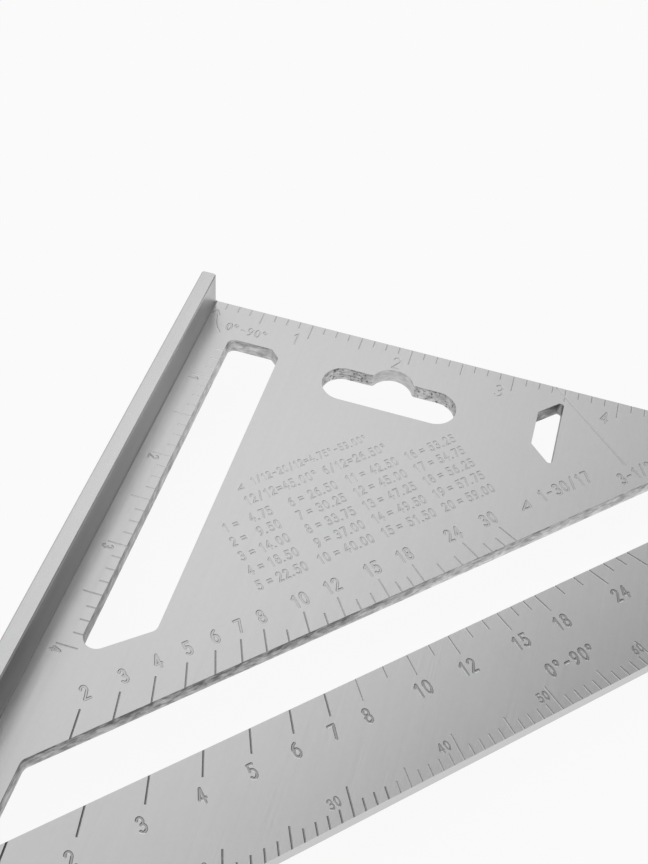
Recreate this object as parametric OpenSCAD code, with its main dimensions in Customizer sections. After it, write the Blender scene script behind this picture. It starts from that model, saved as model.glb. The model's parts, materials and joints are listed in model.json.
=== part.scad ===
/* [Blade] */
// Length of both legs, from the pivot corner to each tip
leg = 185; // [180:1:260]
// Thickness of the blade
blade_t = 3.8; // [3:0.2:5]
// Rounding of the tip at the end of the scale edge
tip_r = 2; // [1:0.5:4]

/* [Fence] */
// Thickness of the fence, square to its inner face
fence_t = 3.75; // [3.25:0.25:6]
// Height of the fence across both faces of the blade
fence_h = 21.4; // [16:0.2:30]
// Rounding of the fence's long edges
fence_edge_r = 0.4; // [0.2:0.1:1]
// Rounding of the fence's upright corners at both ends
fence_corner_r = 0.8; // [0.3:0.1:1.5]
// Fillet between the fence and each face of the blade
fillet_r = 0.3; // [0.2:0.1:2]
// Depth of the groove in the fence that holds the root of the blade
root_d = 1.6; // [1:0.2:2.4]
// Thickness of that root, which leaves a shoulder on each face of the blade
root_t = 2.8; // [2:0.2:2.8]
// Clearance on each side of the root in its groove
root_gap = 0.02; // [0:0.01:0.1]

/* [Slanted window] */
// Plate left between the window and the hypotenuse
band_w = 23.7; // [20:0.1:30]
// Width of the window
window_w = 13; // [8:0.5:16]
// Plate left between the window and the scale edge
window_edge = 12; // [9:0.5:20]
// Plate left between the window and the fence
window_foot = 7.5; // [5:0.5:10]
// Rounding of the window's corners
window_r = 2; // [1:0.25:3]

/* [Long slot beside the fence] */
// Plate left between the slot and the slanted window
web_w = 13.9; // [10:0.1:24]
// Plate left between the slot and the fence
slot_foot = 7.4; // [6.4:0.2:10]
// Width of the slot
slot_w = 13.2; // [9:0.2:16]
// Plate left between the slot and the scale edge
slot_edge = 11.4; // [10:0.2:20]
// Angle of the slanted end to the fence
slot_angle = 50.5; // [45:0.5:60]
// Rounding of the corner between the fence and the scale edge
slot_inner_r = 1.8; // [1:0.2:3]
// Size of the 45-degree cut across the other corner at the scale edge
slot_cut = 2.4; // [1.6:0.2:4]
// Rounding of both ends of that cut
slot_cut_r = 0.8; // [0.4:0.2:2]
// Rounding of the blunt corner at the slanted end
slot_blunt_r = 2; // [1:0.25:4]
// Rounding of the sharp corner at the slanted end
slot_sharp_r = 2.8; // [1:0.2:3.4]

/* [Hang slot] */
// Distance from the fence to the middle of the hang slot
hang_y = 48.75; // [44:0.25:56]
// Distance from the scale edge to the middle of the hang slot
hang_x = 16.5; // [15.5:0.25:20]
// Overall length of the hang slot
hang_l = 32.5; // [26:0.5:40]
// Width of the hang slot
hang_w = 10.2; // [8:0.2:12]
// Radius of the round notch that a nail slips into
notch_r = 5.25; // [4:0.25:6]
// Distance from the middle of the slot to the middle of the notch
notch_x = 3.25; // [2.5:0.25:4]
// Rounding where the notch meets the slot
notch_fillet = 0.8; // [0.4:0.1:1.4]

/* [Notch for marking] */
// Place of the cut-out's straight side along the scale edge, in inches
cut_inch = 3.5; // [3.25:0.125:4]
// Width of the cut-out
cut_w = 5.6; // [4.6:0.2:8]
// Distance from the scale edge to the cut-out
cut_edge = 3.9; // [3:0.1:6]
// Length of the cut-out's straight side
cut_l = 21.4; // [19:0.2:26]
// Rounding of the cut-out's corners
cut_r = 0.8; // [0.4:0.1:1.2]

/* [Scale marks] */
// Width of an engraved mark
mark_w = 0.4; // [0.3:0.02:0.5]
// Depth of an engraved mark
mark_depth = 0.08; // [0.04:0.01:0.2]
// Length of an eighth-inch mark on the scale edge
edge_short = 2.3; // [1.5:0.1:3]
// Length of a half-inch mark on the scale edge
edge_half = 4.1; // [3.2:0.1:5]
// Length of an inch mark on the scale edge
edge_inch = 5.1; // [4.2:0.1:7]
// Length of a short mark beside the long slot
strip_short = 2; // [1.2:0.1:3]
// Length of a half-inch or inch mark beside the long slot
strip_long = 4.2; // [3.2:0.1:5]
// First mark beside the long slot, in eighths of an inch
strip_first = 5; // [5:1:8]
// Length of a short rise mark at the slanted window
rise_short = 2.6; // [1.5:0.1:3.5]
// Length of a numbered rise mark at the slanted window
rise_long = 4.7; // [4:0.1:6]
// Length of a one-degree mark on the hypotenuse
degree_short = 2.4; // [1.5:0.1:3]
// Length of a five-degree mark on the hypotenuse
degree_five = 3.9; // [3.1:0.1:4.5]
// Length of a ten-degree mark on the hypotenuse
degree_ten = 5.6; // [4.6:0.1:7]

/* [Hidden] */
$fn = 64;
arc_step = 6;
inch = 25.4;
eighth = inch / 8;
over = 1;
half_t = blade_t / 2;
half_h = fence_h / 2;

// Run of the rafter that the rise marks are reckoned on, common and hip
common_run = 12;
hip_run = common_run * sqrt(2);
// Rises that have a mark, and those among them with a long, numbered one
rises = concat([for (r = [1 : 18]) r], [for (r = [20 : 2 : 30]) r]);
long_rises = [1, 2, 3, 4, 5, 6, 7, 8, 10, 12, 15, 18, 24, 30];

// Distances from the pivot corner, square to the hypotenuse
hyp_n = leg / sqrt(2);
window_n1 = hyp_n - band_w;
window_n0 = window_n1 - window_w;
slot_n = window_n0 - web_w;

// The scale edge carries whole inches, short of the rounded tip
last_inch = floor((leg - 3 * tip_r) / inch);
slot_y1 = slot_foot + slot_w;
slot_bend = slot_n * sqrt(2) - slot_y1;
slot_end = slot_bend + slot_w / tan(slot_angle);

// Points along an arc, both ends included
function arc(centre, r, from, to) =
    let (steps = ceil(abs(to - from) / arc_step))
    [for (i = [0 : steps]) let (a = from + (to - from) * i / steps) centre + r * [cos(a), sin(a)]];

function unit(v) = v / norm(v);
function bearing(v) = atan2(v[1], v[0]);
function short_way(angle) = (angle + 540) % 360 - 180;

// Points that round the corner between two sides, given by the corners before and after
function round_off(before, corner, after, r) =
    let (
        back = unit(before - corner),
        on = unit(after - corner),
        half = acos(back * on) / 2,
        centre = corner + unit(back + on) * r / sin(half),
        from = bearing(corner + back * r / tan(half) - centre),
        to = bearing(corner + on * r / tan(half) - centre)
    ) arc(centre, r, from, from + short_way(to - from));

// Polygon with rounded corners; a radius of 0 leaves a corner sharp
module rounded(corners, radii) {
    n = len(corners);
    polygon([for (i = [0 : n - 1]) each radii[i] == 0 ? [corners[i]]
        : round_off(corners[(i + n - 1) % n], corners[i], corners[(i + 1) % n], radii[i])]);
}

// Outline through the whole thickness of the blade, with something over
module through() {
    translate([0, 0, -half_t - over]) linear_extrude(blade_t + 2 * over) children();
}

// Triangle of the blade, with its root reaching past the fence's inner face
module triangle() {
    rounded([[0, -root_d], [leg, -root_d], [leg, 0], [0, leg]], [0, 0, 0, tip_r]);
}

// What is taken off both faces of the root, up to the toe of the fillets
module shoulders() {
    for (face = [0, 1]) mirror([0, 0, face])
        translate([-over, -root_d - over, root_t / 2])
            cube([leg + 2 * over, root_d + over + fillet_r, blade_t]);
}

module slanted_window() {
    a = window_n0 * sqrt(2);
    b = window_n1 * sqrt(2);
    rounded([[a - window_foot, window_foot], [b - window_foot, window_foot],
        [window_edge, b - window_edge], [window_edge, a - window_edge]],
        [for (i = [0 : 3]) window_r]);
}

module long_slot() {
    rounded([[slot_edge, slot_foot], [slot_end, slot_foot], [slot_bend, slot_y1],
        [slot_edge + slot_cut, slot_y1], [slot_edge, slot_y1 - slot_cut]],
        [slot_inner_r, slot_sharp_r, slot_blunt_r, slot_cut_r, slot_cut_r]);
}

// Slot with round ends and a round notch towards the scale edge, as one half and its mirror image
module hang_slot() {
    end_r = hang_w / 2;
    end_y = hang_l / 2 - end_r;
    bend_x = -end_r - notch_fillet;
    bend_y = sqrt(pow(notch_r + notch_fillet, 2) - pow(bend_x + notch_x, 2));
    turn = bearing([bend_x + notch_x, bend_y]);
    half = concat(arc([-notch_x, 0], notch_r, 180, turn),
        arc([bend_x, bend_y], notch_fillet, turn - 180, 0),
        arc([0, end_y], end_r, 180, 0));
    other = [for (i = [len(half) - 1 : -1 : 1]) [half[i][0], -half[i][1]]];
    translate([hang_x, hang_y]) polygon(concat(half, other));
}

// Cut-out with one straight side at the far side of a mark and two 45-degree ends
module marking_notch() {
    y1 = cut_inch * inch + mark_w / 2;
    y0 = y1 - cut_w;
    rounded([[cut_edge, y1], [cut_edge + cut_w, y0],
        [cut_edge + cut_l - cut_w, y0], [cut_edge + cut_l, y1]],
        [for (i = [0 : 3]) cut_r]);
}

// V-shaped groove along X in a face at z = 0, from one X to another
module groove(x0, x1) {
    half_w = mark_w / 2;
    translate([x0, 0, 0]) rotate([90, 0, 90]) linear_extrude(x1 - x0)
        polygon([[-half_w, 0], [0, -mark_depth], [half_w, 0], [0, mark_depth]]);
}

// Inch marks along the scale edge, with halves and eighths
module edge_marks() {
    for (i = [1 : last_inch * 8]) {
        length = i % 8 == 0 ? edge_inch : i % 4 == 0 ? edge_half : edge_short;
        translate([0, i * eighth, 0]) groove(-over, length);
    }
}

// Marks on the fence's side of the long slot, counted from the scale edge
module strip_marks() {
    last = floor((slot_end - 3 * mark_w) / eighth);
    for (i = [strip_first : last]) {
        length = i % 4 == 0 ? strip_long : strip_short;
        translate([i * eighth, slot_foot, 0]) rotate([0, 0, -90]) groove(-mark_w, length);
    }
}

// Mark on a ray from the pivot corner, between two lines parallel to the hypotenuse
module ray(angle, n0, n1) {
    slant = cos(angle - 45);
    rotate([0, 0, angle]) groove(n0 / slant, n1 / slant);
}

// Rise marks on one side of the window, for a rafter of the given run
module rise_marks(run, edge_n, outward) {
    clear = window_foot + window_r;
    for (r = [for (r = rises) if (ray_foot(atan(r / run), edge_n) > clear) r]) {
        length = search(r, long_rises) == [] ? rise_short : rise_long;
        far = edge_n + outward * length;
        near = edge_n - outward * mark_w;
        ray(atan(r / run), min(far, near), max(far, near));
    }
}

// How far from the fence a ray meets a line parallel to the hypotenuse
function ray_foot(angle, edge_n) = edge_n * sin(angle) / cos(angle - 45);

module degree_marks(step) {
    for (angle = [step : step : 89]) {
        length = angle % 10 == 0 ? degree_ten : angle % 5 == 0 ? degree_five : degree_short;
        ray(angle, hyp_n - length, hyp_n + over);
    }
}

module blade() {
    color("silver") difference() {
        translate([0, 0, -half_t]) linear_extrude(blade_t) triangle();
        shoulders();
        through() {
            slanted_window();
            long_slot();
            hang_slot();
            marking_notch();
        }
        translate([0, 0, half_t]) {
            edge_marks();
            strip_marks();
            rise_marks(hip_run, window_n0, -1);
            rise_marks(common_run, window_n1, 1);
            degree_marks(1);
        }
        translate([0, 0, -half_t]) {
            edge_marks();
            degree_marks(5);
        }
    }
}

// Bar of the fence, with all its long edges and upright corners rounded
module bar() {
    intersection() {
        translate([0, 0, -half_h]) linear_extrude(fence_h)
            rounded([[0, -fence_t], [leg, -fence_t], [leg, 0], [0, 0]],
                [for (i = [0 : 3]) fence_corner_r]);
        rotate([90, 0, 90]) linear_extrude(leg)
            rounded([[-fence_t, -half_h], [0, -half_h], [0, half_h], [-fence_t, half_h]],
                [for (i = [0 : 3]) fence_edge_r]);
    }
}

// Fillets that meet both faces of the blade, from the scale edge to the hypotenuse
module fillets() {
    for (face = [0, 1]) mirror([0, 0, face]) difference() {
        translate([0, -root_d, 0])
            cube([leg - fillet_r, root_d + fillet_r, half_t + fillet_r]);
        translate([-over, fillet_r, half_t + fillet_r]) rotate([0, 90, 0])
            cylinder(r = fillet_r, h = leg + 2 * over);
    }
}

// Groove that holds the blade's root, open at both ends of the fence
module root_groove() {
    translate([-over, -root_d, -root_t / 2 - root_gap])
        cube([leg + 2 * over, root_d + fillet_r + over, root_t + 2 * root_gap]);
}

module fence() {
    color("gainsboro") difference() {
        union() {
            bar();
            fillets();
        }
        root_groove();
    }
}

blade();
fence();
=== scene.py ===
# Rafter square: engraved numbers, satin aluminium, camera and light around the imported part
import json
import math

import bpy
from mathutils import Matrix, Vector

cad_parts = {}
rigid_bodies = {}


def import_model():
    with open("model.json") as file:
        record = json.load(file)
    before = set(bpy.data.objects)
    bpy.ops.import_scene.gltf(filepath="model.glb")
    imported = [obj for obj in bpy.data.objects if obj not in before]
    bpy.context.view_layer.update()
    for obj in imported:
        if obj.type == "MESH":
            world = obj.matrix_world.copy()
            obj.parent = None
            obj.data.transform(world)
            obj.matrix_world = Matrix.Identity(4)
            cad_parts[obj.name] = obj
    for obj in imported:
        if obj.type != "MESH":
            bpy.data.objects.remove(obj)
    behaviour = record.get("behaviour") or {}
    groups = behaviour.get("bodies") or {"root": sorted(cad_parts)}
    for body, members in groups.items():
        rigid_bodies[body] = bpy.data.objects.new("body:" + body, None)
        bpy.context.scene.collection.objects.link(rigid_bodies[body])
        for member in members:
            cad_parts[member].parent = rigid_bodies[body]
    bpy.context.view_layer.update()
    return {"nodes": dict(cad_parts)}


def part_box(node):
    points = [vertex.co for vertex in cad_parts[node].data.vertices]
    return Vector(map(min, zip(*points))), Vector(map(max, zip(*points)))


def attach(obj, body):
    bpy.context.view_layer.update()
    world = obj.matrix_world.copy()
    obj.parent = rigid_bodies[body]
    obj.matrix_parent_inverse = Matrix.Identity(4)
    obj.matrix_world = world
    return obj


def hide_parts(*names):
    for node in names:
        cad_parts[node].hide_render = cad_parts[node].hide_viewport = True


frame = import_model()

MM = 0.001
ROOT2 = math.sqrt(2)

# From the frame, in mm: the blade's front face above its middle, the length of a leg, the
# fence's lowest edge, and how far the hypotenuse is from the pivot
FACE_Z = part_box("blade")[1].z / MM
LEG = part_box("fence")[1].x / MM
FENCE_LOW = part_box("fence")[0].z / MM
HYPOTENUSE = round(LEG / ROOT2, 2)


# ---------- Working on one object at a time ----------

# Corners closer than this, in metres, are merged
WELD = 1e-7


def only(obj):
    """Selects obj alone and makes it the active one."""
    bpy.ops.object.select_all(action="DESELECT")
    obj.select_set(True)
    bpy.context.view_layer.objects.active = obj


def worked_copy(node, name):
    """A copy of a CAD node with its triangles merged, to be cut and smoothed."""
    only(frame["nodes"][node])
    bpy.ops.object.duplicate()
    piece = bpy.context.active_object
    bpy.ops.object.parent_clear(type="CLEAR_KEEP_TRANSFORM")
    piece.name = piece.data.name = name
    bpy.ops.mesh.customdata_custom_splitnormals_clear()
    bpy.ops.object.mode_set(mode="EDIT")
    bpy.ops.mesh.select_all(action="SELECT")
    bpy.ops.mesh.remove_doubles(threshold=WELD)
    bpy.ops.object.mode_set(mode="OBJECT")
    return piece


# ---------- Figures for the engraving ----------

# Width of a figure that is 1 high, and degrees of arc in one straight piece of a bow
FIGURE_W = 0.52
BOW_STEP = 22


def bow(x, y, rx, ry, start, end):
    """Points on an ellipse round (x, y), from one angle to another in degrees."""
    steps = max(2, round(abs(end - start) / BOW_STEP))
    angles = [math.radians(start + (end - start) * i / steps) for i in range(steps + 1)]
    return [(x + rx * math.cos(a), y + ry * math.sin(a)) for a in angles]


def turned(strokes):
    """Strokes of a figure turned half round, as 9 is to 6."""
    return [[(FIGURE_W - x, 1 - y) for x, y in stroke] for stroke in strokes]


# Strokes of each figure, in up to three passes, so that no pass of the cutter crosses itself.
# d is a degree sign and t a small triangle.
PASSES = 3
SIX = ([bow(0.26, 0.3, 0.26, 0.3, 0, 360)], [bow(0.5, 0.3, 0.5, 0.69, 180, 100)])
FIGURES = {
    "0": ([bow(0.26, 0.5, 0.26, 0.5, 0, 360)],),
    "1": ([[(0.3, 0), (0.3, 1)]], [[(0.08, 0.8), (0.3, 0.98)]]),
    "2": ([bow(0.26, 0.73, 0.25, 0.27, 165, -30) + [(0.01, 0)]], [[(0, 0), (0.52, 0)]]),
    "3": ([bow(0.25, 0.75, 0.23, 0.25, 150, -90)], [bow(0.25, 0.26, 0.27, 0.26, 90, -150)]),
    "4": ([[(0.38, 1), (0, 0.3)]], [[(0, 0.3), (0.54, 0.3)]], [[(0.38, 1), (0.38, 0)]]),
    "5": ([[(0.08, 1), (0.48, 1)], bow(0.24, 0.32, 0.28, 0.32, 130, -145)],
          [[(0.08, 1), (0.06, 0.56)]]),
    "6": SIX,
    "7": ([[(0, 1), (0.52, 1)]], [[(0.52, 1), (0.17, 0)]]),
    "8": ([bow(0.26, 0.75, 0.22, 0.25, 0, 360)], [bow(0.26, 0.26, 0.26, 0.26, 0, 360)]),
    "9": tuple(turned(strokes) for strokes in SIX),
    "=": ([[(0.02, 0.34), (0.5, 0.34)], [(0.02, 0.64), (0.5, 0.64)]],),
    "-": ([[(0.06, 0.48), (0.46, 0.48)]],),
    "/": ([[(0.04, -0.05), (0.48, 1.05)]],),
    ".": ([[(0.02, 0.02), (0.08, 0.02)]],),
    "d": ([bow(0.18, 0.82, 0.18, 0.18, 0, 360)],),
    "t": ([[(0, 0), (0.9, 0)]], [[(0.9, 0), (0.9, 0.62)]], [[(0, 0), (0.9, 0.62)]]),
    " ": (),
}

# From one figure to the next, as a share of their height
PITCH = 0.615
OTHER_PITCH = {"t": 1.25, ".": 0.36, " ": 0.4, "1": 0.56}


def advance(figure):
    """How far the next figure stands from this one, as a share of their height."""
    return OTHER_PITCH.get(figure, PITCH)


# Half widths of the grooves, in mm
SLIM, FINE, PLAIN, BOLD = 0.19, 0.21, 0.25, 0.29
FRONT, BACK = 1, -1

# Reading directions in degrees, and the share of a text that comes before its place
ALONG, UP_EDGE, SLANT = 0, 90, 135
AFTER, OVER, BEFORE = 0.0, 0.5, 1.0

# All strokes, one list for each side and pass: (points in mm, half width in mm, closed)
cuts = {(side, level): [] for side in (FRONT, BACK) for level in range(PASSES)}

# A stroke whose ends are closer than this, in mm, is closed
SAME_POINT = 1e-6


def cut_stroke(points, radius, level=0, side=FRONT):
    """Notes one stroke to be cut: its points in mm on a face and half its width."""
    closed = (Vector(points[0]) - Vector(points[-1])).length < SAME_POINT
    cuts[side, level].append(([(x, y, side * FACE_Z) for x, y in points], radius, closed))


def write(text, place, angle, height, radius, align=AFTER, side=FRONT):
    """Figures along a line: place in mm on the face, reading direction in degrees."""
    a = math.radians(angle)
    right = Vector((math.cos(a), math.sin(a)))
    up = Vector((-right.y, right.x)) * side
    length = sum(advance(figure) for figure in text)
    start = Vector(place) - right * length * height * align
    along = 0.0
    tall = height - 2 * radius
    wide = height - 2 * radius / FIGURE_W
    for figure in text:
        for level, strokes in enumerate(FIGURES[figure]):
            for stroke in strokes:
                points = [start + right * (along * height + radius + x * wide)
                          + up * (radius + y * tall) for x, y in stroke]
                cut_stroke(points, radius, level, side)
        along += advance(figure)


def slanted(s, n):
    """Place on the face, from s along the hypotenuse and n square to it."""
    return ((n - s) / ROOT2, (n + s) / ROOT2)


# ---------- What is written where, in mm ----------

INCH = 25.4

# Inch numbers beside the scale edge: height, base line from the edge (the 2 stands nearer to
# it), and how far before its mark the middle of a number is
EDGE_INCHES = range(1, 8)
EDGE_TALL = 4.0
EDGE_BASE, EDGE_BASE_OF_2 = 8.0, 7.6
EDGE_BEFORE = 2.6


def edge_numbers(side):
    """Inch numbers beside the scale edge, each just before its mark."""
    for i in EDGE_INCHES:
        base = EDGE_BASE_OF_2 if i == 2 else EDGE_BASE
        place = (base, i * INCH - EDGE_BEFORE * side)
        write(str(i), place, UP_EDGE * side, EDGE_TALL, PLAIN, OVER, side)


# Rise numbers: for each scale its run, the base line's distance from the pivot, and the rises
RISE_TALL = 3.4
RISES = [2, 3, 4, 5, 6, 7, 8, 10, 12, 15, 18, 24, 30]
RISE_SCALES = ((12 * ROOT2, 88.3, RISES), (12, 116.6, [1] + RISES))


def rise_numbers():
    """Numbers of the rise marks on both sides of the slanted window, each over its ray."""
    for run, base, rises in RISE_SCALES:
        for rise in rises:
            turn = math.atan(rise / run) - math.pi / 4
            s = (base - RISE_TALL / 2) * math.tan(turn)
            write(str(rise), slanted(s, base), SLANT, RISE_TALL, BOLD, OVER)


# Degree numbers beside the hypotenuse: height, base line, and the gap before the mark
DEGREE_TENS = range(10, 90, 10)
DEGREE_TALL = 2.2
DEGREE_BASE = 128.0
DEGREE_GAP = 0.6


def degree_numbers(side):
    """Tens of degrees beside the hypotenuse, each just before its mark."""
    direction = SLANT if side == FRONT else SLANT - 180
    for angle in DEGREE_TENS:
        s = HYPOTENUSE * math.tan(math.radians(angle - 45)) - DEGREE_GAP * side
        write(str(angle), slanted(s, DEGREE_BASE), direction, DEGREE_TALL, SLIM, BEFORE, side)


# Inch numbers beside the long slot: height, base line from the fence, and the gap after the mark
SLOT_INCHES = range(1, 5)
SLOT_TALL = 2.6
SLOT_BASE = 2.4
SLOT_GAP = 0.6


def slot_numbers():
    """Inch numbers between the fence and the long slot, each just after its mark."""
    for i in SLOT_INCHES:
        write(str(i), (i * INCH + SLOT_GAP, SLOT_BASE), ALONG, SLOT_TALL, PLAIN)


# The table: degrees for rises of 1 to 20, its base lines from the pivot, and for each column
# where its index ends, its sign begins and its value ends along the hypotenuse
TABLE = (4.75, 9.5, 14, 18.5, 22.5, 26.5, 30.25, 33.75, 37, 40,
         42.5, 45, 47.25, 49.5, 51.5, 53.25, 54.75, 56.25, 57.75, 59)
TABLE_TALL = 2.6
TABLE_LINES = (65.2, 69.1, 73.1, 77.1, 81.1)
TABLE_COLUMNS = ((-27.4, -26.6, -17.0), (-11.6, -10.8, -1.0),
                 (4.0, 4.7, 14.6), (19.6, 20.3, 30.1))


def rafter_table():
    """Degrees for each rise on a foot of run, in four columns."""
    for i, degrees in enumerate(TABLE):
        column, row = divmod(i, len(TABLE_LINES))
        line = TABLE_LINES[row]
        index, sign, value = TABLE_COLUMNS[column]
        write(str(i + 1), slanted(index, line), SLANT, TABLE_TALL, FINE, BEFORE)
        write("=", slanted(sign, line), SLANT, TABLE_TALL, FINE)
        write("%.2f" % degrees, slanted(value, line), SLANT, TABLE_TALL, FINE, BEFORE)


# Plain figures where the real square has words: text, place, direction, height, half width
# and alignment
NOTES = (
    ("0d-90d", (9.2, 5.2), UP_EDGE, 3.0, PLAIN, AFTER),
    ("t 1/12-20/12=4.75d-59.00d", slanted(-21.5, 56.2), SLANT, 2.2, SLIM, AFTER),
    ("12/12=45.00d 6/12=26.50d", slanted(-21.5, 60.7), SLANT, 2.6, FINE, AFTER),
    ("t 1-30/17", slanted(32.0, 88.3), SLANT, 3.4, BOLD, AFTER),
    ("3-1/2", slanted(57.0, 92.3), SLANT, 3.3, BOLD, AFTER),
    ("0d-90d", slanted(25.5, 124.5), SLANT, 3.3, BOLD, BEFORE),
)

# The arrow that points to the pivot: its shaft and two barbs, one to each pass
ARROW = ([(10.1, 4.3), (8.2, 2.9), (6.5, 2.2), (4.4, 1.7), (3.0, 1.4)],
         [(4.5, 2.4), (3.0, 1.4)],
         [(4.4, 0.6), (3.0, 1.4)])

# The line from the scale edge towards the slanted window
LEADER = [slanted(61.1, 61.5), slanted(61.1, 87.5)]

for side in (FRONT, BACK):
    edge_numbers(side)
    degree_numbers(side)
rise_numbers()
slot_numbers()
rafter_table()
for note in NOTES:
    write(*note)
for level, points in enumerate(ARROW):
    cut_stroke(points, SLIM, level)
cut_stroke(LEADER, BOLD)


# ---------- Cutting them ----------

# How far a cutter reaches above the face, in mm, and how much its six-sided nose is flattened
LIFT = 0.03
FLAT = 0.3

# Round ends: share of the half width along the groove, and share of it across
TIP = ((0.0, 0.0), (0.15, 0.53), (0.5, 0.87), (1.0, 1.0))


def tool_path(points, radius, closed):
    """Points in metres and shares of the radius for one cutter, with round ends."""
    path = [Vector(p) * MM for p in points]
    if closed:
        return path[:-1], [1.0] * (len(path) - 1)
    r = radius * MM
    first = (path[0] - path[1]).normalized()
    last = (path[-1] - path[-2]).normalized()
    start = [(path[0] + first * r * (1 - along), size) for along, size in TIP]
    end = [(path[-1] + last * r * (1 - along), size) for along, size in reversed(TIP)]
    rows = start + [(p, 1.0) for p in path[1:-1]] + end
    return [p for p, _ in rows], [size for _, size in rows]


def cutter(strokes, side):
    """Tool paths of one pass with a flat nose and slanted flanks, as one closed mesh."""
    curve = bpy.data.curves.new("cutter", "CURVE")
    curve.dimensions = "3D"
    curve.bevel_depth = MM      # a point's radius is then in mm
    curve.bevel_resolution = 1
    curve.use_fill_caps = False
    for points, radius, closed in strokes:
        path, sizes = tool_path(points, radius + LIFT, closed)
        line = curve.splines.new("POLY")
        line.points.add(len(path) - 1)
        line.use_cyclic_u = closed
        for point, place, size in zip(line.points, path, sizes):
            point.co = (*place, 1)
            point.radius = (radius + LIFT) * size
    obj = bpy.data.objects.new("cutter", curve)
    bpy.context.collection.objects.link(obj)
    only(obj)
    bpy.ops.object.convert(target="MESH")
    obj = bpy.context.active_object
    bpy.ops.object.mode_set(mode="EDIT")
    bpy.ops.mesh.select_all(action="SELECT")
    bpy.ops.mesh.remove_doubles(threshold=WELD)
    bpy.ops.mesh.normals_make_consistent(inside=False)
    face = (0, 0, side * FACE_Z * MM)
    bpy.ops.transform.resize(value=(1, 1, FLAT), center_override=face)
    bpy.ops.transform.translate(value=(0, 0, side * LIFT * FLAT * MM))
    bpy.ops.object.mode_set(mode="OBJECT")
    return obj


def cut(piece, tool):
    """Takes the tool's shape out of the piece, and the tool away."""
    only(piece)
    bpy.ops.object.modifier_add(type="BOOLEAN")
    modifier = piece.modifiers[-1]
    modifier.operation = "DIFFERENCE"
    modifier.object = tool
    modifier.solver = "MANIFOLD"
    bpy.ops.object.modifier_apply(modifier=modifier.name)
    bpy.data.objects.remove(tool)


blade = worked_copy("blade", "engraved_blade")
for (side, level), strokes in cuts.items():
    if strokes:
        cut(blade, cutter(strokes, side))

fence = worked_copy("fence", "satin_fence")


# ---------- Shader maths ----------

class Socket:
    """A node's output that takes part in Python arithmetic."""

    def __init__(self, shader, link):
        self.shader, self.link = shader, link

    def __add__(self, other): return self.shader.maths("ADD", self, other)
    def __radd__(self, other): return self.shader.maths("ADD", other, self)
    def __mul__(self, other): return self.shader.maths("MULTIPLY", self, other)
    def __rmul__(self, other): return self.shader.maths("MULTIPLY", other, self)
    def __sub__(self, other): return self.shader.maths("SUBTRACT", self, other)
    def __rsub__(self, other): return self.shader.maths("SUBTRACT", other, self)

    def clamp(self, low=0.0, high=1.0):
        return self.shader.node("ShaderNodeClamp", {}, {0: self, 1: low, 2: high})


class Shader:
    """The node tree of a new material, or of the world."""

    def __init__(self, owner):
        owner.use_nodes = True
        self.owner, self.tree = owner, owner.node_tree

    def node(self, kind, settings, inputs, output=0):
        """A new node with its settings, and values or links for its sockets."""
        made = self.tree.nodes.new(kind)
        for key, value in settings.items():
            setattr(made, key, value)
        self.fill(made, inputs)
        return Socket(self, made.outputs[output])

    def fill(self, made, inputs):
        for key, value in inputs.items():
            if isinstance(value, Socket):
                self.tree.links.new(value.link, made.inputs[key])
            else:
                made.inputs[key].default_value = value

    def maths(self, operation, *values):
        return self.node("ShaderNodeMath", {"operation": operation}, dict(enumerate(values)))

    def axis(self, index):
        """One Object coordinate in mm."""
        where = self.node("ShaderNodeTexCoord", {}, {}, "Object")
        return self.node("ShaderNodeSeparateXYZ", {}, {0: where}, index) * (1 / MM)

    def reach(self, value, start, end):
        """0 where value is at start, 1 where it is at end, and straight between."""
        return ((value - start) * (1 / (end - start))).clamp()

    def noise(self, scale, detail, roughness=0.5):
        """Noise from 0 to 1 on features of 1/scale metres along each axis."""
        where = self.node("ShaderNodeTexCoord", {}, {}, "Object")
        scaled = self.node("ShaderNodeMapping", {}, {"Vector": where, "Scale": scale})
        return self.node("ShaderNodeTexNoise", {}, {"Vector": scaled, "Scale": 1.0,
                         "Detail": detail, "Roughness": roughness}, "Fac")

    def blend(self, factor, dark, light):
        """From dark at 0 to light at 1, and on past light where the factor goes past 1."""
        return self.node("ShaderNodeMix", {"data_type": "RGBA", "clamp_factor": False},
                         {0: factor, 6: (*dark, 1), 7: (*light, 1)}, 2)

    def bump(self, height, strength, distance):
        return self.node("ShaderNodeBump", {}, {"Height": height, "Strength": strength,
                         "Distance": distance})

    def finish(self, **inputs):
        """Fills the material's own shader, with _ for the spaces in its sockets' names."""
        self.fill(self.tree.nodes["Principled BSDF"],
                  {key.replace("_", " "): value for key, value in inputs.items()})
        return self.owner


# ---------- Finishes ----------

# Darkest and lightest tone of satin metal as shares of its grey, the brightest that painted
# light may make a place, as a share of the way from dark to light, how much the grain changes
# tone and roughness, and the brushed lines' strength and depth in metres
SATIN_DARK, SATIN_LIGHT = 0.72, 1.28
PAINTED_LIGHT_MOST = 1.35
TONE_SPREAD, ROUGH_SPREAD = 0.4, 0.12
BRUSH_STRENGTH, BRUSH_DEPTH = 0.34, 0.00004


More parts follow.
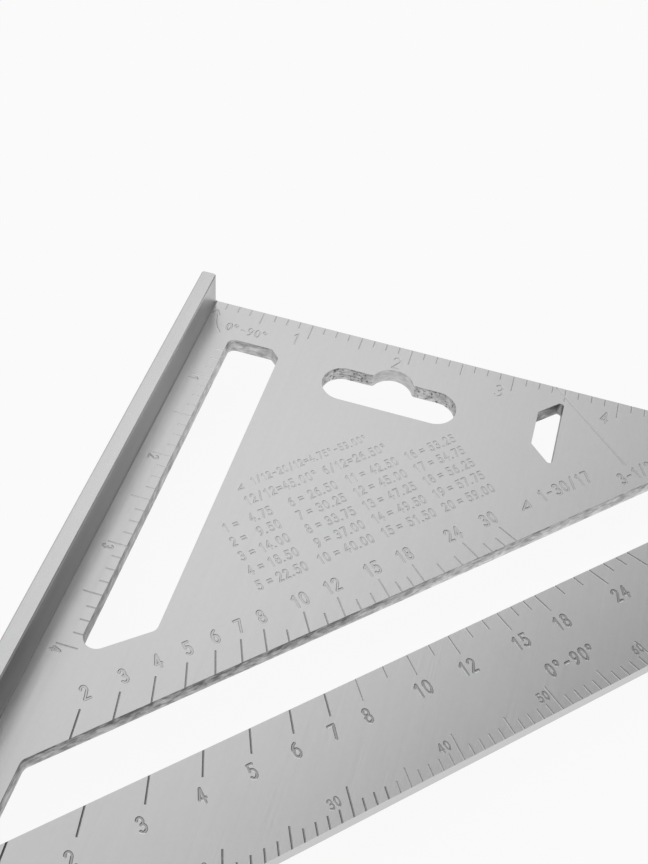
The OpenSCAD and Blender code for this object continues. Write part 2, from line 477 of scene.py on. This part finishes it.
def satin(name, grey, rough, lines=1.0, mottle=1.0, shade=None):
    """Aluminium with fine lines brushed along X and a faint mottle; shade adds broad painted
    light and shade.
    """
    shader = Shader(bpy.data.materials.new(name))
    fine = shader.noise((40, 14000, 14000), 2.0)
    broad = shader.noise((14, 1100, 1100), 3.0)
    cloud = shader.noise((45, 60, 60), 4.0)
    fleck = shader.noise((700, 900, 900), 3.0)
    grain = fine * 0.3 + broad * 0.2 + cloud * 0.25 + fleck * (0.25 * mottle)
    tone = (0.5 - TONE_SPREAD / 2) + grain * TONE_SPREAD
    if shade:
        tone = tone + shade(shader)
    dark = [g * SATIN_DARK for g in grey]
    light = [g * SATIN_LIGHT for g in grey]
    return shader.finish(
        Base_Color=shader.blend(tone.clamp(high=PAINTED_LIGHT_MOST), dark, light),
        Metallic=1.0,
        Roughness=(rough - ROUGH_SPREAD / 2) + grain * ROUGH_SPREAD,
        Normal=shader.bump(fine + broad * 0.25, BRUSH_STRENGTH * lines, BRUSH_DEPTH))


# Middle tone of a cut wall, contrast of its lines, noise at which a chip begins and is full,
# and the cut lines' strength and depth in metres
WALL_TONE = 0.55
LINE_CONTRAST = 1.3
CHIP_BEGINS, CHIP_FULL = 0.58, 0.64
CUT_STRENGTH, CUT_DEPTH = 0.5, 0.0001


def machined(name, dark, light, rough, brighter_below=0.0, darkening=None, specks=0.0):
    """Cut walls: lines along them, dark patches and specks, brighter towards the back."""
    shader = Shader(bpy.data.materials.new(name))
    lines = shader.noise((500, 500, 1600), 3.0, 0.6)
    patch = shader.noise((420, 420, 520), 3.0, 0.6)
    drop = shader.reach(shader.axis(2), FACE_Z, -FACE_Z)
    tone = (WALL_TONE + (lines - 0.5) * LINE_CONTRAST + (patch - 0.5)
            + (drop - 0.5) * brighter_below)
    if specks:
        chip = shader.noise((1500, 1500, 1500), 1.0)
        tone = tone - shader.reach(chip, CHIP_BEGINS, CHIP_FULL) * specks
    # A darkening: painted shade on the window's walls, a plain darkening on the slot's
    if darkening:
        tone = tone - darkening(shader)
    tone = tone.clamp()
    return shader.finish(
        Base_Color=shader.blend(tone, dark, light),
        Metallic=1.0,
        Roughness=rough + tone * 0.1,
        Normal=shader.bump(lines + patch, CUT_STRENGTH, CUT_DEPTH))


# Distances from the pivot, square to the hypotenuse and in mm, between which the painted light
# and shade of the marks change their grey, and how much wear changes it
NEAR_PIVOT, AT_WINDOW, PAST_WINDOW = 45.0, 92.0, 106.0
FLANK_WEAR = 0.2
BLACK, WHITE = (0, 0, 0), (1, 1, 1)


def engraved(name, pivot, middle, outer, rough):
    """Flanks of the marks, painted lit and shaded by their tilt: greys at the pivot, beside the
    slanted window and outside it.
    """
    shader = Shader(bpy.data.materials.new(name))
    across = (shader.axis(0) + shader.axis(1)) * (1 / ROOT2)
    worn = shader.noise((900, 900, 900), 3.0) - 0.5
    grey = (pivot + shader.reach(across, NEAR_PIVOT, AT_WINDOW) * (middle - pivot)
            + shader.reach(across, AT_WINDOW, PAST_WINDOW) * (outer - middle)
            + worn * FLANK_WEAR)
    return shader.finish(
        Base_Color=shader.blend(grey.clamp(), BLACK, WHITE),
        Metallic=1.0,
        Roughness=rough + worn * 0.1)


# Broad tones of the finishes, painted light and shade among them. Each reaches from one place to
# another, in mm on the part.

def rubbed(shader):
    """Plate: painted light beside the fence, away from the pivot, where the fence's shade falls.
    """
    x, y = shader.axis(0), shader.axis(1)
    side = shader.reach(y, 5.0, 2.0) * 0.5 + shader.reach(y, 2.8, 1.6) * 0.32
    return side * shader.reach(x, 12.0, 40.0)


def outer_dirt(shader):
    """Floors of the marks: painted shade, darker outside the slanted window."""
    return shader.reach(shader.axis(0) + shader.axis(1), 130.0, 150.0) * -0.5


def tarnished(shader):
    """Wall of the fence: painted light at its foot, painted shade at its end and away from the
    pivot.
    """
    x = shader.axis(0)
    foot = shader.reach(shader.maths("ABSOLUTE", shader.axis(2)), 8.0, 2.0)
    foot = foot * shader.reach(x, -5.0, 12.0) * 0.45
    end = shader.reach(x, 9.0, 2.0) * 0.5
    return 0.1 + foot - end - shader.reach(x, 10.0, 90.0) * 0.36


def slot_dirt(shader):
    """Walls of the long slot: darker away from the pivot."""
    return shader.reach(shader.axis(0), 25.0, 90.0) * 0.33


def window_dirt(shader):
    """Walls of the slanted window: painted shade, darker towards the fence."""
    along = (shader.axis(1) - shader.axis(0)) * (1 / ROOT2)
    return shader.reach(along, 8.0, -20.0) * 0.25


(PLATE, SHADED_FLANK, LIT_FLANK, SHADED_GROOVE_FLOOR, EDGE,
 SLOT, WINDOW, PUNCHED, NAIL, SHADED_NOTCH) = range(10)
BLADE_FINISHES = (
    # The plate gets painted light beside the fence, away from the pivot
    satin("brushed_plate", (0.61, 0.61, 0.615), 0.30, shade=rubbed),
    # Flanks of the marks in a shaded and a lit copy: painted shade, and painted light on those
    # leaning towards the scale edge
    engraved("painted_shade_flanks", 0.77, 0.44, 0.29, 0.26),
    engraved("painted_light_flanks", 0.95, 0.66, 1.0, 0.26),
    # Floors of the marks: greyer than the plate, painted shade in the grooves
    satin("groove_floors_shade", (0.53, 0.53, 0.535), 0.28, shade=outer_dirt),
    satin("milled_edges", (0.60, 0.60, 0.605), 0.36, lines=0.6, mottle=2.5),
    machined("slot_walls", (0.16, 0.16, 0.165), (0.80, 0.80, 0.805), 0.42, 0.2, slot_dirt),
    # Walls of the slanted window, with painted shade towards the fence
    machined("window_walls", (0.10, 0.10, 0.105), (0.83, 0.83, 0.835), 0.42, 0.5, window_dirt),
    machined("punched_walls", (0.12, 0.12, 0.125), (0.80, 0.80, 0.805), 0.45, 0.3, specks=0.5),
    machined("nail_notch", (0.34, 0.34, 0.345), (0.70, 0.70, 0.705), 0.38, 0.25),
    # Walls of the marking notch that face away from the scale edge or towards the fence: painted
    # shade, nearly black
    machined("marking_notch", (0.02, 0.02, 0.022), (0.55, 0.55, 0.555), 0.45),
)
TOP, WALL, SHADED_FOOT = range(3)
FENCE_FINISHES = (
    satin("brushed_fence", (0.58, 0.58, 0.585), 0.25, lines=0.8, mottle=2.0),
    # The fence's wall: painted light at its foot, painted shade at its end and away from the
    # pivot
    satin("fence_wall", (0.60, 0.60, 0.605), 0.38, lines=0.2, shade=tarnished),
    # The foot of the fence, in the corner against the blade: darker, painted shade
    satin("fence_foot_shade", (0.40, 0.40, 0.405), 0.45, lines=0.2),
)


# ---------- Which face has which finish ----------

# Boxes in mm round the openings, and the round notch for a nail: its middle, its radius, and
# how far from the middle its wall begins towards the scale edge
HANG_SLOT = ((10.0, 31.0), (23.0, 67.0))
MARKING_NOTCH = ((4.0, 81.0), (25.0, 92.0))
LONG_SLOT = ((8.0, 6.5), (105.0, 22.0))
NAIL_NOTCH = Vector((13.25, 48.75))
NAIL_REACH = 5.6
NAIL_WALL = 1

# Shares of a normal: along Z, over which a face isn't a wall and over which it is a floor;
# towards the scale edge, over which a flank gets painted light; and away from the scale edge or
# towards the fence, over which a wall of the marking notch gets painted shade
NOT_WALL, LEVEL = 0.05, 0.96
LIT = 0.55
FROM_EDGE, TO_FENCE = 0.4, 0.5

# In mm: depth under which a face is the plate's own, and how close to the scale edge, to the
# hypotenuse's line x + y = LEG and to the blade's tip a wall belongs to the outer edges
ON_FACE = 0.001
AT_SCALE_EDGE, AT_HYPOTENUSE, AT_TIP = 0.05, 1, 5


def within(place, box):
    (x0, y0), (x1, y1) = box
    return x0 < place.x < x1 and y0 < place.y < y1


def blade_finish(polygon):
    """Which finish a face of the blade has, from its place in mm and its tilt."""
    corners = [blade.data.vertices[v].co / MM for v in polygon.vertices]
    normal = polygon.normal
    if abs(normal.z) > NOT_WALL:
        if max(FACE_Z - abs(c.z) for c in corners) < ON_FACE:
            return PLATE
        if abs(normal.z) > LEVEL:
            return SHADED_GROOVE_FLOOR
        # A flank leaning towards the scale edge gets painted light, any other painted shade
        return LIT_FLANK if normal.x < -LIT * normal.xy.length else SHADED_FLANK
    middle = sum((c.xy for c in corners), Vector((0, 0))) / len(corners)
    if (middle.x < AT_SCALE_EDGE or middle.x + middle.y > LEG - AT_HYPOTENUSE
            or middle.y > LEG - AT_TIP):
        return EDGE
    if (middle - NAIL_NOTCH).length < NAIL_REACH and middle.x < NAIL_NOTCH.x - NAIL_WALL:
        return NAIL
    if within(middle, HANG_SLOT):
        return PUNCHED
    # These walls of the marking notch get painted shade
    if within(middle, MARKING_NOTCH) and (normal.x > FROM_EDGE or normal.y < -TO_FENCE):
        return SHADED_NOTCH
    return SLOT if within(middle, LONG_SLOT) else WINDOW


# In mm: how far before the fence's wall its foot begins, which gets painted shade. Shares of a
# normal:
# along X, under which a face isn't the fence's end, and along Y, over which it is its wall.
FOOT_BEGINS = 0.02
NOT_END = 0.9
FACES_BLADE = 0.3


def fence_finish(polygon):
    """Which finish a face of the fence has."""
    if polygon.center.y > FOOT_BEGINS * MM and abs(polygon.normal.x) < NOT_END:
        return SHADED_FOOT
    return WALL if polygon.normal.y > FACES_BLADE else TOP


# Edges between faces that meet at less than this look smooth
SMOOTH = math.radians(25)

for piece, node, finishes, finish_of in ((blade, "blade", BLADE_FINISHES, blade_finish),
                                         (fence, "fence", FENCE_FINISHES, fence_finish)):
    piece.data.materials.clear()
    for material in finishes:
        piece.data.materials.append(material)
    for polygon in piece.data.polygons:
        polygon.material_index = finish_of(polygon)
    only(piece)
    bpy.ops.object.shade_smooth_by_angle(angle=SMOOTH)
    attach(piece, "root")
    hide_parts(node)
for polygon in blade.data.polygons:
    polygon.use_smooth = polygon.material_index not in (PLATE, SHADED_GROOVE_FLOOR)


# ---------- Floor ----------

# The square lies on the fence's lower edge and the blade's tip, so the floor leans to both.
# Sizes in metres, the paper's grey, and how much of what the camera sees of it is plain white.
FLOOR_SIZE = 6
FLOOR_MIDDLE = 0.09
PAPER = 0.8
SEEN_WHITE = 0.92

bpy.ops.mesh.primitive_plane_add(size=FLOOR_SIZE, location=(0, 0, 0))
floor = bpy.context.active_object
floor.name = "floor"
floor.rotation_euler = (math.atan2(-FENCE_LOW - FACE_Z, LEG), 0, 0)
floor.location = (FLOOR_MIDDLE, 0, FENCE_LOW * MM)
paper = Shader(bpy.data.materials.new("paper"))
seen = sum(paper.node("ShaderNodeLightPath", {}, {}, ray)
           for ray in ("Is Camera Ray", "Is Glossy Ray", "Is Transmission Ray"))
white = paper.node("ShaderNodeEmission", {}, {"Color": (1, 1, 1, 1), "Strength": 1.0})
matt = paper.node("ShaderNodeBsdfDiffuse", {}, {"Color": (PAPER, PAPER, PAPER, 1)})
both = paper.node("ShaderNodeMixShader", {}, {0: seen.clamp() * SEEN_WHITE, 1: matt, 2: white})
paper.fill(paper.tree.nodes["Material Output"], {"Surface": both})
floor.data.materials.append(paper.owner)


# ---------- Light ----------

# A dim white room with soft glows: for each its direction, turned from -X towards +Y and
# raised, in degrees, and its strength
DIM = 0.14
GLOWS = ((-28, 46, 0.46), (0, 48, 0.57), (-60, 72, 0.32), (-100, 45, 0.7), (180, 40, 0.4))
SOFTNESS = 9.0

# A sweep that is brightest at the horizon: strength, and how fast it falls with height
SWEEP = 0.76
SWEEP_FALL = 1.8

# A dim patch overhead, whose mirror image darkens the outer part of the plate: direction, the
# angles from its middle at which it begins and is full, and how much it takes away
PATCH = (38, 63)
PATCH_BEGINS, PATCH_FULL = 15.5, 9
PATCH_DEPTH = 0.95

bpy.context.scene.world = bpy.data.worlds.new("studio")
room = Shader(bpy.context.scene.world)
sky = room.node("ShaderNodeTexCoord", {}, {}, "Generated")


def nearness(turn, height):
    """Cosine of the angle from a direction, turned from -X towards +Y and raised."""
    a, h = math.radians(turn), math.radians(height)
    middle = (-math.cos(a) * math.cos(h), math.sin(a) * math.cos(h), math.sin(h))
    return room.node("ShaderNodeVectorMath", {"operation": "DOT_PRODUCT"},
                     {0: sky, 1: middle}, "Value")


light = DIM
for turn, height, strength in GLOWS:
    glow = room.maths("EXPONENT", (nearness(turn, height) - 1) * SOFTNESS)
    light = light + glow * strength
rise = room.node("ShaderNodeSeparateXYZ", {}, {0: sky}, 2)
light = light + (1 - rise * SWEEP_FALL).clamp() * SWEEP
begins, full = (math.cos(math.radians(angle)) for angle in (PATCH_BEGINS, PATCH_FULL))
light = light * (1 - room.reach(nearness(*PATCH), begins, full) * PATCH_DEPTH)
room.fill(room.tree.nodes["Background"], {"Color": (1, 1, 1, 1), "Strength": light})


# ---------- Camera ----------

# Place in mm, turn in degrees and focal length in mm, fitted to the scales' marks
CAMERA_PLACE = Vector((201.58, 71.68, 202.29))
CAMERA_TURN = (40.56, -4.0396, 106.1474)
LENS = 48.29
NEAREST_SEEN = 0.01

bpy.ops.object.camera_add(location=CAMERA_PLACE * MM)
camera = bpy.context.active_object
camera.rotation_euler = [math.radians(angle) for angle in CAMERA_TURN]
camera.data.lens = LENS
camera.data.clip_start = NEAREST_SEEN
bpy.context.scene.camera = camera
bpy.context.scene.view_settings.view_transform = "Standard"
